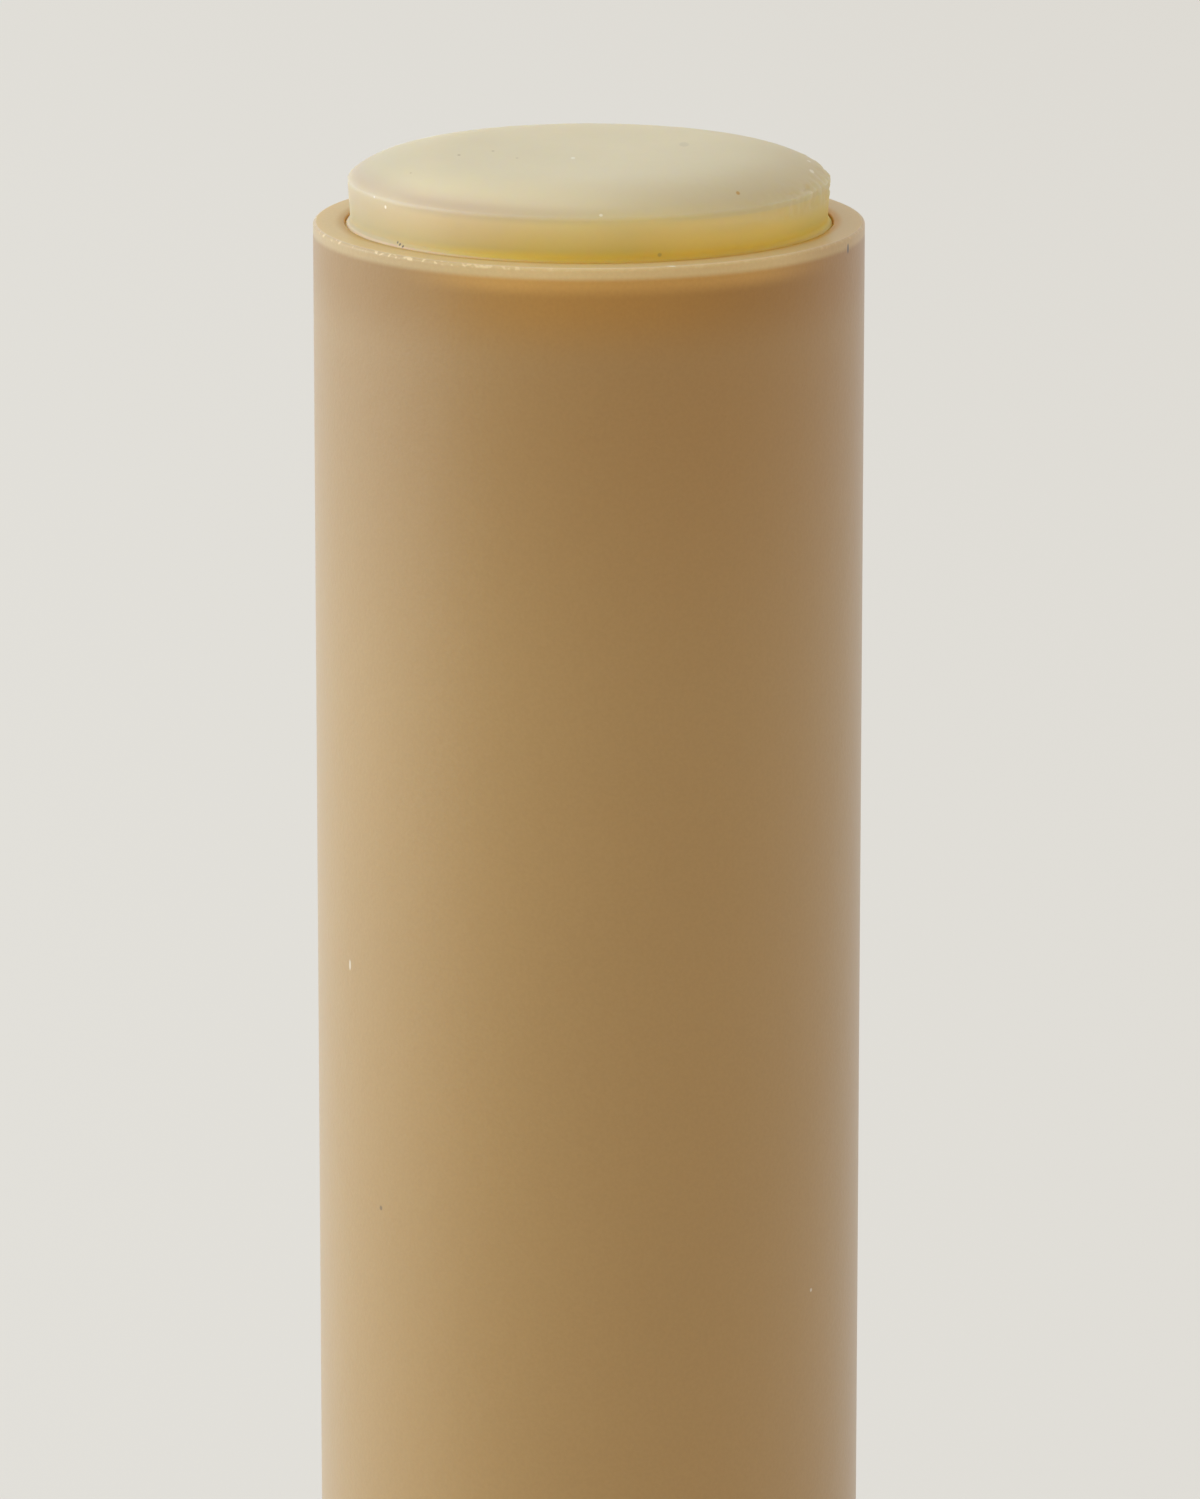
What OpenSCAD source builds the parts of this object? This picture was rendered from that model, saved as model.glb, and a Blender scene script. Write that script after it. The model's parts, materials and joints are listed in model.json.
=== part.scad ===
// Twist-up lip balm stick with its cap off. Turning the wheel at the bottom turns a two-start
// screw, which lifts a cup that ribs in the barrel keep from turning, and the cast balm with it.
// Z runs up the axis, and the underside of the wheel is at z = 0.

/* [Barrel] */
// Outside diameter of the straight neck that a cap slides over
neck_d = 13.9; // [12.9:0.1:16]
// Wall thickness of the neck
neck_wall = 0.8; // [0.65:0.05:1.1]
// Length of the neck from the shoulder to the rim
neck_length = 36.5; // [32:0.5:45]
// Length of the wide base from its foot to the shoulder
base_length = 20.75; // [17:0.25:26]
// Width of the step from the neck out to the base
shoulder_w = 1.05; // [0.8:0.05:1.6]
// Thickness of the floor that the screw passes through
floor_t = 1.6; // [1.2:0.1:2.2]
// Thickness of the foot ring round the recess under the floor
foot_wall = 1.6; // [1.2:0.1:2.2]
// Rounding of the rim's outer edge
rim_round = 0.2; // [0.1:0.02:0.3]
// Rounding of the rim's inner edge
mouth_round = 0.12; // [0.06:0.02:0.2]
// Rounding of the shoulder's edge
shoulder_round = 0.3; // [0.1:0.05:0.6]
// Rounding of the foot's outer edge
foot_round = 0.3; // [0.1:0.05:0.6]

/* [Cap bead] */
// How far the bead that holds the cap stands out of the neck
bead_proud = 0.12; // [0.06:0.02:0.24]
// Height of the bead along the neck
bead_h = 0.8; // [0.5:0.1:1.4]
// Height of the bead's middle above the shoulder
bead_rise = 1.2; // [0.8:0.1:3]

/* [Guide ribs] */
// Number of ribs in the bore
rib_count = 4; // [2:1:6]
// Width of the round bar that each rib is part of
rib_w = 0.8; // [0.6:0.05:1]
// How far a rib stands into the bore
rib_proud = 0.3; // [0.2:0.02:0.36]
// Height of the pointed top of a rib
rib_point = 0.6; // [0.3:0.1:1]
// Distance from the rim down to the tops of the ribs
rib_drop = 6; // [4:0.5:12]

/* [Turning wheel] */
// Height of the wheel's side
wheel_h = 6.5; // [5.5:0.25:9]
// How far the wheel's side stands back from the base's side
wheel_step = 0.1; // [0.05:0.05:0.4]
// Thickness of the wheel's side wall
wheel_wall = 1.3; // [1:0.1:1.8]
// Thickness of the wheel's floor
wheel_floor = 1.4; // [1:0.1:2]
// Rounding of the wheel's two outer edges
wheel_round = 0.5; // [0.2:0.05:0.7]
// Number of grip flutes
flute_count = 40; // [24:1:46]
// Width of a flute
flute_w = 0.8; // [0.5:0.05:0.95]
// Depth of a flute
flute_depth = 0.25; // [0.15:0.05:0.4]
// Height of the plain band above and below the flutes
flute_band = 0.9; // [0.7:0.1:1.6]
// Diameter of the shallow dish in the underside
dish_d = 10; // [7:0.5:11]
// Depth of the dish
dish_depth = 0.3; // [0.1:0.05:0.6]
// Number of webs between the hub and the side wall
web_count = 6; // [3:1:8]
// Thickness of a web
web_t = 0.8; // [0.5:0.1:1.2]
// How far the webs stay below the top of the side wall
web_drop = 1; // [0.5:0.25:2.5]
// Wall thickness of the hub at the corners of its socket
hub_wall = 1.3; // [1:0.1:1.6]
// How far the hub stands above the side wall
hub_rise = 1.1; // [0.6:0.1:1.8]
// Thickness of plastic below the socket
socket_floor = 2.2; // [1.4:0.1:3]

/* [Screw] */
// Size across the flats of the screw's six-sided foot
hex_af = 4.6; // [4:0.1:5.2]
// Thickness of the flange that seats on the hub
flange_t = 1; // [0.7:0.1:1.6]
// Diameter of the journal that turns in the barrel's floor
journal_d = 5.6; // [5.4:0.1:6.4]
// How far the snap collar reaches out over the floor's hole
snap_over = 0.25; // [0.15:0.05:0.4]
// Height of the snap collar
snap_h = 0.8; // [0.5:0.1:1.2]
// Height of the cone that leads the collar in
snap_lead = 0.4; // [0.3:0.1:0.8]
// Diameter over the thread
thread_d = 5; // [4.6:0.1:5.2]
// Depth of the thread
thread_depth = 0.75; // [0.5:0.05:0.9]
// Rise of the nut in one turn
thread_lead = 4; // [3.5:0.25:6]
// Number of starts
thread_starts = 2; // [1:1:2]
// Width of the thread's crest, along the axis
crest_w = 0.67; // [0.5:0.01:0.75]
// Width of each sloping flank, along the axis
flank_w = 0.22; // [0.12:0.01:0.26]
// Length of the plain tip above the thread
tip_length = 1; // [0.6:0.1:2]
// Distance from the rim down to the tip of the screw
tip_drop = 6.5; // [4.5:0.5:12]

/* [Carrier cup] */
// Height of the cup's skirt
cup_h = 5; // [4:0.25:8]
// Thickness of the skirt
cup_wall = 0.7; // [0.6:0.05:1]
// Thickness of the cup's floor
cup_floor = 1; // [0.7:0.1:1.5]
// Length of the nut
nut_length = 4; // [3:0.25:6]
// Wall thickness of the nut outside its thread
nut_wall = 0.9; // [0.6:0.05:1.2]
// Number of fins that keep the balm from turning in the cup
fin_count = 4; // [2:1:6]
// Thickness of a fin
fin_t = 0.6; // [0.4:0.05:0.9]
// How far the fins stay below the top of the skirt
fin_drop = 0.5; // [0.3:0.1:1]

/* [Balm] */
// How far the cup is wound up from its lowest place
wound_up = 3; // [0:0.25:8]
// How far the balm's top lies below the rim when it is wound down
balm_sink = 1.25; // [0.5:0.05:4]
// How far the lip round the balm's top stands out of its side
lip_proud = 0.05; // [0:0.01:0.08]
// Height of the lip's lower slope
lip_h = 0.35; // [0.2:0.05:0.8]
// Height of the rounded shoulder above the lip
crown_h = 0.65; // [0.3:0.05:1]
// Width of the rounded shoulder
crown_w = 1.6; // [0.6:0.05:2.4]
// Squareness of the shoulder, where 2 is a quarter of an ellipse
crown_power = 1.4; // [1.2:0.1:2.6]

/* [Clearances] */
// Gap between the wheel and the barrel's foot
turn_gap = 0.25; // [0.15:0.05:0.5]
// Gap round the journal in the floor
running_gap = 0.1; // [0.06:0.02:0.2]
// Gap above and below the floor at the flange and the collar
axial_gap = 0.15; // [0.08:0.01:0.3]
// Gap round the screw's foot in its socket
seat_gap = 0.04; // [0.02:0.01:0.1]
// Gap under the screw's foot in its socket
socket_gap = 0.2; // [0.1:0.05:0.5]
// Radial gap in the thread and round the screw in the balm
thread_gap = 0.18; // [0.14:0.01:0.25]
// Gap at each flank of the thread, along the axis
flank_gap = 0.15; // [0.1:0.01:0.16]
// Gap between the cup and the bore
slide_gap = 0.1; // [0.06:0.01:0.2]
// Gap between the cup's foot and the floor when it is wound down
park_gap = 0.4; // [0.3:0.05:0.8]
// Gap between the ribs and the grooves that run over them
rib_gap = 0.15; // [0.1:0.01:0.2]
// Gap between the balm and the bore
balm_gap = 0.13; // [0.1:0.01:0.3]
// Gap between the cast balm and the cup's round walls
cast_gap = 0.04; // [0.02:0.01:0.1]
// Gap over the ribs' points and the screw's tip when the balm is wound down
end_gap = 0.3; // [0.2:0.05:0.8]

/* [Hidden] */

tan_plastic = [0.76, 0.63, 0.44];
natural_plastic = [0.93, 0.92, 0.87];
wax = [0.89, 0.83, 0.66];

// Radii
neck_r = neck_d / 2;
bore_r = neck_r - neck_wall;
base_r = neck_r + shoulder_w;
wheel_r = base_r - wheel_step;
foot_r = hex_af / 2 / cos(30);
socket_r = foot_r + seat_gap / cos(30);
hub_r = socket_r + hub_wall;
journal_r = journal_d / 2;
hole_r = journal_r + running_gap;
collar_r = hole_r + snap_over;
thread_r = thread_d / 2;
root_r = thread_r - thread_depth;
tip_r = root_r - 0.2;
rib_r = rib_w / 2;
rib_axis = bore_r - rib_proud + rib_r;
cup_r = bore_r - slide_gap;
cup_bore_r = cup_r - cup_wall;
nut_r = thread_r + thread_gap + nut_wall;
balm_r = bore_r - balm_gap;

// Heights, from the bottom up
hub_top = wheel_h + hub_rise;
flange_top = hub_top + flange_t;
foot_z = wheel_h + turn_gap;
floor_z = flange_top + axial_gap;
floor_top = floor_z + floor_t;
shoulder_z = foot_z + base_length;
rim_z = shoulder_z + neck_length;
rib_top = rim_z - rib_drop;
collar_z = floor_top + axial_gap;
collar_top = collar_z + snap_h;
lead_top = collar_top + snap_lead;
tip_z = rim_z - tip_drop;
thread_top = tip_z - tip_length;
cup_z = floor_top + park_gap + wound_up;
cup_floor_z = cup_z + lead_top - floor_top;
cup_floor_top = cup_floor_z + cup_floor;
skirt_top = cup_z + cup_h;
nut_top = cup_floor_z + nut_length;
balm_top = rim_z - balm_sink + wound_up;

// How far a cutting shape runs past the faces that it cuts
past = 1;
round_fn = 96;
small_fn = 32;
arc_steps = 5;
// Slices of the thread in one turn
screw_slices = 16;
nut_slices = 24;

// Points along an arc about [x, z], from angle a to angle b
function arc(x, z, r, a, b, steps = arc_steps) =
    [for (i = [0:steps]) let (t = a + (b - a) * i / steps) [x + r * cos(t), z + r * sin(t)]];

// Radius of the circle through a chord's ends and a point that stands out of it by rise
function bow_r(chord, rise) = (chord * chord / 4 + rise * rise) / (2 * rise);

// Places one copy at each of n equal steps round the axis
module ring(n, start = 0) {
    for (i = [0:n - 1]) rotate([0, 0, start + i * 360 / n]) children();
}

module turned(points) {
    rotate_extrude($fn = round_fn) polygon(points);
}

module rod(r, bottom, top, fn = round_fn) {
    translate([0, 0, bottom]) cylinder(h = top - bottom, r = r, $fn = fn);
}

// Ribs in the bore, or the grooves that clear them, with pointed tops
module rib_bars(gap, bottom, top) {
    ring(rib_count, 45) translate([rib_axis, 0, 0]) {
        rod(rib_r + gap, bottom, top - rib_point, small_fn);
        translate([0, 0, top - rib_point])
            cylinder(h = rib_point, r1 = rib_r + gap, r2 = gap, $fn = small_fn);
    }
}

// Cross-section of the thread. A crest takes the angle that its width along the axis turns through.
function thread_section(root, crest, gap, crest_steps, root_steps) =
    let (
        share = 360 / thread_starts,
        crest_half = 360 * (crest_w / 2 + gap) / thread_lead,
        root_half = crest_half + 360 * flank_w / thread_lead
    ) [
        for (s = [0:thread_starts - 1]) each concat(
            arc(0, 0, crest, s * share - crest_half, s * share + crest_half, crest_steps),
            arc(0, 0, root, s * share + root_half, (s + 1) * share - root_half, root_steps)
        )
    ];

// The section swept up the axis. Its turn depends on height alone, so that screw and nut mesh.
module thread_sweep(section, bottom, top, slices) {
    translate([0, 0, bottom]) rotate([0, 0, -360 * bottom / thread_lead])
        linear_extrude(height = top - bottom, twist = 360 * (top - bottom) / thread_lead, slices = slices)
            polygon(section);
}

// The screw's thread, from inside the snap collar up to the plain tip, with a lead-in slope at its top
module screw_thread() {
    bottom = collar_top - snap_h / 2;
    slope = [
        [tip_r, thread_top + past],
        [tip_r, thread_top],
        [thread_r + past, thread_top - thread_r - past + tip_r],
        [thread_r + past, thread_top + past]
    ];
    difference() {
        thread_sweep(thread_section(root_r, thread_r, 0, 3, 3), bottom, thread_top,
            ceil((thread_top - bottom) / thread_lead * screw_slices));
        turned(slope);
    }
}

// The space inside the nut, which runs half a slice past each of the nut's faces
module nut_thread() {
    slices = ceil(nut_length / thread_lead * nut_slices);
    half = nut_length / slices / 2;
    thread_sweep(thread_section(root_r + thread_gap, thread_r + thread_gap, flank_gap, 6, 3),
        cup_floor_z - half, nut_top + half, slices + 1);
}

// One moulding: the wide base, the neck with its cap bead and rim, the floor and the guide ribs
module barrel() {
    bead_r = bow_r(bead_h, bead_proud);
    bead_half = asin(bead_h / 2 / bead_r);
    outside = concat(
        [[0, foot_z]],
        arc(base_r - foot_round, foot_z + foot_round, foot_round, -90, 0),
        arc(base_r - shoulder_round, shoulder_z - shoulder_round, shoulder_round, 0, 90),
        [[neck_r, shoulder_z]],
        arc(neck_r + bead_proud - bead_r, shoulder_z + bead_rise, bead_r, -bead_half, bead_half, 8),
        arc(neck_r - rim_round, rim_z - rim_round, rim_round, 0, 90),
        [[0, rim_z]]
    );
    bore = concat(
        [[0, floor_top], [bore_r, floor_top]],
        arc(bore_r + mouth_round, rim_z - mouth_round, mouth_round, 180, 90),
        [[bore_r + mouth_round, rim_z + past], [0, rim_z + past]]
    );
    color(tan_plastic) difference() {
        turned(outside);
        difference() {
            turned(bore);
            rib_bars(0, floor_top - past, rib_top);
        }
        rod(hole_r, floor_z - past, floor_top + past);
        rod(base_r - foot_wall, foot_z - past, floor_z);
    }
}

// Fluted knob, cored out from above round a hub that takes the screw's foot
module turning_wheel() {
    flute_r = bow_r(flute_w, flute_depth);
    outside = concat(
        [[0, dish_depth], [dish_d / 2 - dish_depth, dish_depth], [dish_d / 2, 0]],
        arc(wheel_r - wheel_round, wheel_round, wheel_round, -90, 0),
        arc(wheel_r - wheel_round, wheel_h - wheel_round, wheel_round, 0, 90),
        [[0, wheel_h]]
    );
    color(tan_plastic) difference() {
        union() {
            difference() {
                turned(outside);
                rod(wheel_r - wheel_wall, wheel_floor, wheel_h + past);
            }
            rod(hub_r, dish_depth + wheel_floor / 2, hub_top);
            ring(web_count) translate([0, -web_t / 2, dish_depth + wheel_floor / 2])
                cube([wheel_r - wheel_wall / 2, web_t, wheel_h - web_drop - dish_depth - wheel_floor / 2]);
        }
        rod(socket_r, socket_floor, hub_top + past, 6);
        ring(flute_count) translate([wheel_r - flute_depth + flute_r, 0, 0])
            rod(flute_r, flute_band, wheel_h - flute_band, small_fn);
    }
}

// The screw, with its six-sided foot, flange, journal and snap collar
module spindle() {
    shank = [
        [0, hub_top],
        [hub_r, hub_top],
        [hub_r, flange_top],
        [journal_r, flange_top],
        [journal_r, collar_z],
        [collar_r, collar_z],
        [collar_r, collar_top],
        [thread_r + 0.1, lead_top],
        [0, lead_top]
    ];
    tip = [
        [0, thread_top - past],
        [tip_r, thread_top - past],
        [tip_r, tip_z - tip_length / 2],
        [tip_r - tip_length / 4, tip_z],
        [0, tip_z]
    ];
    color(natural_plastic) union() {
        rod(foot_r, socket_floor + socket_gap, hub_top + flange_t / 2, 6);
        turned(shank);
        screw_thread();
        turned(tip);
    }
}

// Cup that holds the balm's foot, with the nut in its middle and notches that run on the ribs
module carrier_cup() {
    color(natural_plastic) difference() {
        union() {
            difference() {
                rod(cup_r, cup_z, skirt_top);
                rod(cup_bore_r, cup_z - past, cup_floor_z);
                rod(cup_bore_r, cup_floor_top, skirt_top + past);
            }
            rod(nut_r, cup_floor_z, nut_top);
            fins(cup_floor_z + cup_floor / 2);
        }
        nut_thread();
        rib_bars(rib_gap, cup_z - past, skirt_top + past + rib_point);
    }
}

// Fins from the nut out into the skirt
module fins(bottom) {
    ring(fin_count) translate([nut_r - nut_wall / 2, -fin_t / 2, bottom])
        cube([cup_r - cup_wall / 2 - nut_r + nut_wall / 2, fin_t, skirt_top - fin_drop - bottom]);
}

// Wax cast into the cup and round the screw, with a soft lip and a rounded shoulder at the top
module balm() {
    lip_r = balm_r + lip_proud;
    lip_z = balm_top - crown_h;
    crown_steps = 10;
    cast = concat(
        [[0, cup_floor_top], [cup_bore_r - cast_gap, cup_floor_top], [cup_bore_r - cast_gap, skirt_top],
         [balm_r, skirt_top], [balm_r, lip_z - lip_h]],
        [for (i = [0:crown_steps]) let (t = 90 * i / crown_steps) [
            lip_r - crown_w + crown_w * pow(cos(t), 2 / crown_power),
            lip_z + crown_h * pow(sin(t), 2 / crown_power)
        ]],
        [[0, balm_top]]
    );
    color(wax) difference() {
        turned(cast);
        rod(nut_r + cast_gap, cup_floor_top - past, nut_top);
        rod(thread_r + thread_gap, nut_top - past, tip_z + wound_up + end_gap);
        fins(cup_floor_top - past);
        rib_bars(rib_gap, cup_floor_top - past, rib_top + wound_up + end_gap);
    }
}

barrel();
turning_wheel();
spindle();
carrier_cup();
balm();
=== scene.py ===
"""Dresses a twist-up lip balm stick, without its cap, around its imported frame.

The barrel, the turning wheel and the balm are modelled here at the frame's own sizes. The screw and
the carrier cup stay as the frame gives them and get a finish. Lengths are in metres.
"""
import json
import math

import bpy
from bpy.props import FloatProperty, FloatVectorProperty, IntProperty, PointerProperty
from bpy.types import Operator, Panel, PropertyGroup
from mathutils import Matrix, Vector


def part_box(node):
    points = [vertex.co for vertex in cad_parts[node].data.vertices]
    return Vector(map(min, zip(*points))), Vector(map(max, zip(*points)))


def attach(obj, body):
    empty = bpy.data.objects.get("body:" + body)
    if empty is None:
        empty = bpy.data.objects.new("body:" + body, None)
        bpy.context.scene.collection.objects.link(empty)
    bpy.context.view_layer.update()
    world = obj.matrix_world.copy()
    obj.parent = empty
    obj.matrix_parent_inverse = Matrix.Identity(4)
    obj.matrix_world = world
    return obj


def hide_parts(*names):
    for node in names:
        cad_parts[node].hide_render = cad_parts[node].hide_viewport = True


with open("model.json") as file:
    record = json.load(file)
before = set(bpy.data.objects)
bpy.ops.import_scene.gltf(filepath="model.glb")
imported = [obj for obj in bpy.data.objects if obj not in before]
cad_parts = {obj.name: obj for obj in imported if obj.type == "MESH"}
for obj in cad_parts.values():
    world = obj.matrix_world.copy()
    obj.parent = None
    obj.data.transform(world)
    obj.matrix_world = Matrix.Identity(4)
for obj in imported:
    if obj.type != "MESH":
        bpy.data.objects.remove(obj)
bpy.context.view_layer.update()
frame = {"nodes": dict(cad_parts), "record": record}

bl_info = {
    "name": "Lip Balm Stick",
    "version": (1, 0, 0),
    "blender": (4, 5, 0),
    "location": "View3D > Sidebar > Balm Stick",
    "description": "Models and finishes a twist-up lip balm stick",
    "category": "Add Mesh",
}

MM = 0.001
MOUNTS = {mount["name"]: mount for mount in frame["record"]["mounts"]}
BARREL_LOW, BARREL_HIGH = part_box("barrel")
WHEEL_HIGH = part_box("turning_wheel")[1]
BALM_LOW, BALM_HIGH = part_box("balm")
CUP_LOW, CUP_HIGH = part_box("carrier_cup")
SCREW_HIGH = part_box("spindle")[1]
RIM_Z = BARREL_HIGH.z
NECK_R = MOUNTS["neck"]["dims"]["r_mm"] * MM
AXIS = (0.0, 0.0, 0.0)

# Sizes that follow the frame's screw and cup
SCREW_FLANGE = 1.0 * MM
FLANGE_GAP = 0.15 * MM
SCREW_CLEAR_R = 2.68 * MM
SCREW_HEADROOM = 3.3 * MM
NUT_CLEAR_R = 3.62 * MM
CUP_SKIRT = 5.0 * MM
CUP_WALL = 0.74 * MM
CUP_FINS = 4
FIN_REACH = (3.3 * MM, 5.8 * MM)
FIN_HALF = 0.3 * MM

# Rows of points down a flute's end and across its width: where they lie and how deep they are pressed
FLUTE_END_HEIGHTS = (0.0, 0.06 * MM, 0.15 * MM, 0.3 * MM)
FLUTE_END_DEPTHS = (0.0, 0.6, 0.9, 1.0)
FLUTE_COLUMN_DEPTHS = (1.0, 0.933, 0.733, 0.4)
FLUTE_STEPS = 12

# The wax in the gap at the barrel's mouth: share of its width, height above the rim
SQUEEZED_ROWS = (
    (0.0, 0.10 * MM), (0.2, 0.04 * MM), (0.6, -0.02 * MM), (0.92, -0.07 * MM), (1.0, -0.13 * MM),
    (1.0, -0.30 * MM), (0.7, -0.60 * MM), (0.3, -1.0 * MM), (0.0, -1.5 * MM),
)

# The stage, measured from the photo's view
CAMERA_PLACE = (0.0, -0.22548, 0.10340)
CAMERA_TILT = 76.746
CAMERA_LENS = 217.84
CAMERA_SHIFT = 0.00737
KEY_PLACE = (-1.189, 0.0, 0.426)
KEY_SIZE = (1.5, 0.9)
FLOOR_SIZE = 8.0


# Sizes and colours that a user would change

def length(name, description, default, low=0.0, high=0.1):
    """A length property."""
    return FloatProperty(name=name, description=description, default=default, min=low, max=high,
                         precision=5, subtype="DISTANCE", unit="LENGTH")


def colour(name, description, default):
    """A colour property."""
    return FloatVectorProperty(name=name, description=description, default=default, min=0.0, max=1.0,
                               size=3, subtype="COLOR")


class BalmStickBarrel(PropertyGroup):
    """Sizes and colour of the barrel."""
    steps: IntProperty(name="Steps", description="Faces round the barrel", default=320, min=32, max=512)
    wall: length("Neck wall", "Thickness of the neck's wall", 0.8 * MM)
    base_length: length("Base length", "Height of the wide base", 20.75 * MM)
    floor: length("Floor", "Thickness of the floor", 1.6 * MM)
    foot_wall: length("Foot wall", "Thickness of the foot ring", 1.6 * MM)
    hole: length("Floor hole", "Radius of the hole in the floor", 2.9 * MM)
    rim_round: length("Rim rounding", "Rounding of the rim's outer edge", 0.08 * MM)
    mouth_round: length("Mouth rounding", "Rounding of the rim's inner edge", 0.05 * MM)
    edge_round: length("Edge rounding", "Rounding of the shoulder and the foot", 0.3 * MM)
    bead: length("Cap bead", "How far the cap bead stands out", 0.12 * MM)
    bead_height: length("Bead height", "Height of the cap bead", 0.8 * MM)
    bead_rise: length("Bead rise", "Height of the bead's middle above the shoulder", 1.2 * MM)
    ribs: IntProperty(name="Ribs", description="Number of guide ribs in the bore", default=4, min=2, max=6)
    rib_bar: length("Rib rounding", "Radius of the bar that each rib is part of", 0.4 * MM)
    rib_axis: length("Rib axis", "Distance of that bar's middle from the axis", 6.25 * MM)
    rib_point: length("Rib point", "Height of a rib's pointed top", 0.6 * MM)
    rib_drop: length("Rib drop", "Distance from the rim down to the ribs", 6.0 * MM)
    colour: colour("Plastic", "Colour of the tan plastic", (0.384, 0.223, 0.069))


class BalmStickWheel(PropertyGroup):
    """Sizes of the turning wheel."""
    flutes: IntProperty(name="Flutes", description="Number of grip flutes", default=40, min=12, max=60)
    flute_depth: length("Flute depth", "Depth of a flute", 0.25 * MM)
    band: length("Plain band", "Plain band above and below the flutes", 0.9 * MM)
    edge_round: length("Edge rounding", "Rounding of the outer edges", 0.5 * MM)
    side_height: length("Side height", "Height of the side wall", 6.5 * MM)
    wall: length("Wheel wall", "Thickness of the side wall", 1.3 * MM)
    floor: length("Wheel floor", "Thickness of the floor", 1.4 * MM)
    dish: length("Dish", "Radius of the shallow dish underneath", 5.0 * MM)
    dish_depth: length("Dish depth", "Depth of the dish", 0.3 * MM)
    hub: length("Hub", "Radius of the hub", 4.0 * MM)
    socket: length("Socket", "Radius of the six-sided socket at its corners", 2.70 * MM)
    socket_floor: length("Socket floor", "Thickness of plastic under the socket", 2.2 * MM)
    webs: IntProperty(name="Webs", description="Number of webs between hub and wall", default=6,
                      min=3, max=8)
    web: length("Web thickness", "Thickness of a web", 0.8 * MM)
    web_drop: length("Web drop", "How far the webs stay below the side wall", 1.0 * MM)


class BalmStickWax(PropertyGroup):
    """Sizes and colours of the balm."""
    steps: IntProperty(name="Steps", description="Faces round the balm", default=480, min=32, max=512)
    lip: length("Lip", "How far the lip stands out of the side", 0.05 * MM)
    lip_height: length("Lip height", "Height of the lip where its lower edge is crisp", 0.38 * MM)
    lip_fade: length("Lip fade", "Height over which the lip runs out into the side elsewhere", 1.0 * MM)
    crown: length("Shoulder height", "Height of the rounded shoulder", 0.65 * MM)
    crown_width: length("Shoulder width", "Width over which the top slopes down to the lip", 2.6 * MM)
    crown_start: FloatProperty(name="Shoulder start", default=2.8, min=1.0, max=4.0,
                               description="How gently the slope starts, 2 for an ellipse")
    crown_end: FloatProperty(name="Shoulder end", default=1.25, min=1.0, max=4.0,
                             description="How roundly the slope ends, 2 for an ellipse")
    squeeze: length("Squeezed wax", "How far wax fills the gap to the barrel's mouth", 0.12 * MM)
    ragged: length("Ragged edge", "Depth of the ragged places in the lip", 0.11 * MM)
    groove: length("Rib groove", "Radius of the grooves that clear the ribs", 0.55 * MM)
    colour: colour("Wax", "Colour of the wax", (0.61, 0.52, 0.336))
    # The deep colour is the wax's own yellow deepened by painted shade, for the side low down and away from
    # the light
    deep_shade_colour: colour("Deep wax", "Colour of the wax where it runs into the barrel", (0.72, 0.53, 0.09))


class BalmStickStage(PropertyGroup):
    """Colours and lights of the stage."""
    floor_colour: colour("Floor", "Colour of the floor", (0.75, 0.705, 0.64))
    key_power: FloatProperty(name="Key light", description="Power of the key light", default=19.4,
                             min=0.0, unit="POWER")
    key_colour: colour("Key colour", "Colour of the key light", (0.66, 0.825, 1.0))
    world_strength: FloatProperty(name="World", description="Strength of the light all round",
                                  default=0.8, min=0.0)


# Shared modelling steps

def deselect_all():
    """Leaves nothing selected, in object mode."""
    if bpy.context.object and bpy.context.object.mode != "OBJECT":
        bpy.ops.object.mode_set(mode="OBJECT")
    bpy.ops.object.select_all(action="DESELECT")


def arc(centre, radius, start, end, steps):
    """Points on an arc in the outline's plane, between two angles in degrees."""
    return [
        (centre[0] + radius * math.cos(math.radians(start + (end - start) * i / steps)),
         centre[1] + radius * math.sin(math.radians(start + (end - start) * i / steps)))
        for i in range(steps + 1)
    ]


def polar(place):
    """How far a point lies from the axis, and its angle round it in degrees."""
    return math.hypot(place.x, place.y), math.degrees(math.atan2(place.y, place.x))


def fall(value, full, none):
    """1 up to full, falling to 0 at none."""
    return min(1.0, max(0.0, (none - value) / (none - full)))


def spun(name, outline, steps):
    """Draws an outline of (radius, height) points by extruding a vertex, and spins it round Z."""
    deselect_all()
    first = outline[0]
    bpy.ops.mesh.primitive_plane_add(size=MM, location=(first[0], 0, first[1]))
    piece = bpy.context.object
    piece.name = piece.data.name = name
    bpy.ops.object.transform_apply(location=True, rotation=True, scale=True)
    bpy.ops.object.mode_set(mode="EDIT")
    bpy.ops.mesh.select_all(action="SELECT")
    bpy.ops.mesh.merge(type="CENTER")
    for before, after in zip(outline, outline[1:]):
        step = (after[0] - before[0], 0, after[1] - before[1])
        bpy.ops.mesh.extrude_region_move(TRANSFORM_OT_translate={"value": step})
    bpy.ops.mesh.select_all(action="SELECT")
    bpy.ops.mesh.spin(steps=steps, angle=2 * math.pi, center=(0, 0, 0), axis=(0, 0, 1))
    bpy.ops.mesh.select_all(action="SELECT")
    bpy.ops.mesh.remove_doubles(threshold=1e-6)
    bpy.ops.mesh.normals_make_consistent(inside=False)
    bpy.ops.object.mode_set(mode="OBJECT")
    return piece


def select_points(piece, test):
    """Selects the vertices whose place passes the test, and leaves the piece in edit mode."""
    deselect_all()
    bpy.context.view_layer.objects.active = piece
    bpy.ops.object.mode_set(mode="EDIT")
    bpy.ops.mesh.select_mode(type="VERT")
    bpy.ops.mesh.select_all(action="DESELECT")
    bpy.ops.object.mode_set(mode="OBJECT")
    for point in piece.data.vertices:
        point.select = test(point.co)
    bpy.ops.object.mode_set(mode="EDIT")


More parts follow.
